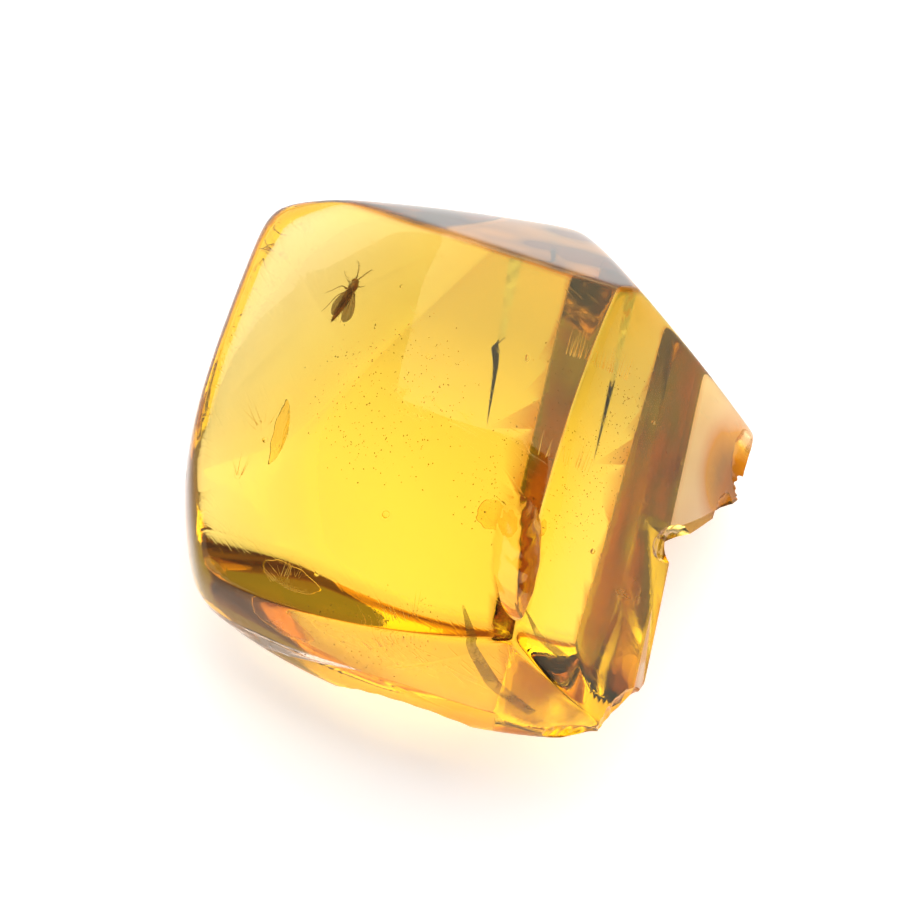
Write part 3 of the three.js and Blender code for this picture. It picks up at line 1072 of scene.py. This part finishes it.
def paintedShadeSeamMaterial():
    material, tree, shader = newMaterial("oldSeamHaze", {"Roughness": 0.55})
    place = objectPlace(tree)
    drawn = addNode(tree, "ShaderNodeMapping", {"Vector": place, "Scale": (1, 0.35, 0.6)})
    streaky = noiseAt(tree, drawn.outputs[0], 700, 5)
    both = mathNode(tree, "MULTIPLY", streaky, noiseAt(tree, place, 180, 2))
    cover = mapped(tree, both, 0.16, 0.34, oldSeam["clear"], oldSeam["dense"])
    tree.links.new(cover, shader.inputs["Alpha"])
    # The haze's brown tones are painted shade
    tones = twoTones(tree, streaky, (0.2, 0.045, 0.012), (0.62, 0.2, 0.05), (0.35, 0.65))
    tree.links.new(tones, shader.inputs["Base Color"])
    return material


sealIn(paintedShadeSeamMesh(), "oldSeam", paintedShadeSeamMaterial())

# A darker band behind the lower bevel: a thin streaky brown haze sheet
flowBand = {
    "paths": [
        [(-0.3, -10.3, 12.2), (0.3, -12.0, 11.2), (1.3, -13.2, 9.2), (3.3, -14.0, 7.2)],
        [(2.2, -10.2, 11.6), (3.0, -11.4, 10.8), (4.6, -12.2, 9.6)],
    ],
    "halfWidths": (0.06, 0.34, 0.42, 0.3),
    "facing": (-0.31, -0.89, 0.34),
    "thickness": 0.03,
}


def darkBandMesh():
    work = bmesh.new()
    for path in flowBand["paths"]:
        points, widths = drawnOut(path, flowBand["halfWidths"], 12)
        rows = []
        for index, (point, width) in enumerate(zip(points, widths)):
            ahead = Vector(points[min(index + 1, len(points) - 1)])
            way = ahead - Vector(points[max(index - 1, 0)])
            across = way.cross(Vector(flowBand["facing"])).normalized()
            rows.append([work.verts.new((Vector(point) + across * width * share) * mm)
                         for share in (-1, -0.4, 0.4, 1)])
        for row, following in zip(rows, rows[1:]):
            strip(work, row, following, closed=False)
    bmesh.ops.solidify(work, geom=work.faces[:], thickness=flowBand["thickness"] * mm)
    return finishedMesh(work, "flowBand")


def darkBandMaterial():
    material, tree, shader = newMaterial("barkHaze", {"Roughness": 0.6})
    streaky = noiseAt(tree, objectPlace(tree), 900, 5)
    tree.links.new(mapped(tree, streaky, 0.3, 0.62, 0.2, 0.72), shader.inputs["Alpha"])
    tones = twoTones(tree, streaky, (0.09, 0.06, 0.008), (0.3, 0.19, 0.03), (0.35, 0.65))
    tree.links.new(tones, shader.inputs["Base Color"])
    return material


sealIn(darkBandMesh(), "flowBand", darkBandMaterial())

# A white table under a large soft box, with a bright one behind and dimmer ones to the left and front
studio = {
    "floorSize": 12,
    "floorGap": 0.00003,
    "floorTone": (0.86, 0.86, 0.855, 1),
    "floorGlow": 0.46,
    "boxes": [
        {"at": (160, 250, 450), "aim": (0, 0, 0), "size": (960, 640), "radiance": 1.95},
        {"at": (-160, 650, 260), "aim": (0, 0, 40), "size": (1300, 460), "radiance": 1.75},
        {"at": (-650, 60, 160), "aim": (0, 0, 20), "size": (700, 300), "radiance": 0.9},
        {"at": (0, -650, 260), "aim": (0, 0, 40), "size": (1000, 300), "radiance": 0.45},
    ],
    "ambient": (0.3, 0.6, 0.5, 0.12, 0.15),
    "backdrop": 0.93,
    "cameraAt": (-1.053, -98.24, 251.34),
    "cameraPitch": 22,
    "cameraAngle": 2 * math.atan(23.684 / 260),
}


def floorPiece():
    work = bmesh.new()
    bmesh.ops.create_grid(work, x_segments=1, y_segments=1, size=studio["floorSize"] / 2)
    bmesh.ops.translate(work, vec=(0, 0, -studio["floorGap"]), verts=work.verts)
    mesh = meshOf(work, "tableTop")
    material, _, _ = newMaterial("paleTable", {
        "Base Color": studio["floorTone"], "Roughness": 0.9, "Specular IOR Level": 0.1,
        "Emission Color": (1, 1, 1, 1), "Emission Strength": studio["floorGlow"],
    })
    mesh.materials.append(material)
    table = putIn(mesh, "tableTop")


def softBox(row):
    lamp = bpy.data.lights.new("softBox", "AREA")
    lamp.shape = "RECTANGLE"
    lamp.size, lamp.size_y = row["size"][0] * mm, row["size"][1] * mm
    lamp.energy = row["radiance"] * lamp.size * lamp.size_y * math.pi
    box = putIn(lamp, "softBox")
    box.visible_camera = False
    box.location = Vector(row["at"]) * mm
    way = Vector(row["aim"]) * mm - box.location
    box.rotation_euler = way.to_track_quat("-Z", "Y").to_euler()


# The room's own dim light, a little different from each side
def roomLight():
    world = bpy.data.worlds.new("room")
    bpy.context.scene.world = world
    world.use_nodes = True
    tree = world.node_tree
    place = addNode(tree, "ShaderNodeTexCoord")
    split = addNode(tree, "ShaderNodeSeparateXYZ", {0: place.outputs["Generated"]})
    right, left, back, front, top = studio["ambient"]
    parts = []
    for axis, ahead, behind in ((0, right, left), (1, back, front), (2, top, top)):
        way = split.outputs[axis]
        side = mathNode(tree, "GREATER_THAN", way, 0)
        level = mathNode(tree, "ADD", mathNode(tree, "MULTIPLY", side, ahead - behind), behind)
        parts.append(mathNode(tree, "MULTIPLY", mathNode(tree, "MULTIPLY", way, way), level))
    total = mathNode(tree, "ADD", mathNode(tree, "ADD", parts[0], parts[1]), parts[2])
    seen = addNode(tree, "ShaderNodeLightPath").outputs["Is Camera Ray"]
    lit = mathNode(tree, "MULTIPLY", total, mathNode(tree, "SUBTRACT", 1, seen))
    behindIt = mathNode(tree, "MULTIPLY", seen, studio["backdrop"])
    tree.links.new(mathNode(tree, "ADD", lit, behindIt), tree.nodes["Background"].inputs["Strength"])
    tree.nodes["Background"].inputs["Color"].default_value = (1, 1, 1, 1)


floorPiece()
for row in studio["boxes"]:
    softBox(row)
roomLight()
lens = bpy.data.cameras.new("camera")
lens.angle = studio["cameraAngle"]
lens.clip_start = 0.01
camera = putIn(lens, "camera")
camera.location = Vector(studio["cameraAt"]) * mm
camera.rotation_euler = (math.radians(studio["cameraPitch"]), 0, 0)

scene = bpy.context.scene
scene.camera = camera
scene.view_settings.view_transform = "Standard"
scene.cycles.max_bounces = 9
scene.cycles.transmission_bounces = 9
scene.cycles.transparent_max_bounces = 8
scene.cycles.caustics_refractive = True
scene.cycles.caustics_reflective = True
scene.cycles.blur_glossy = 0
scene.cycles.sample_clamp_indirect = 0
print("studio done")
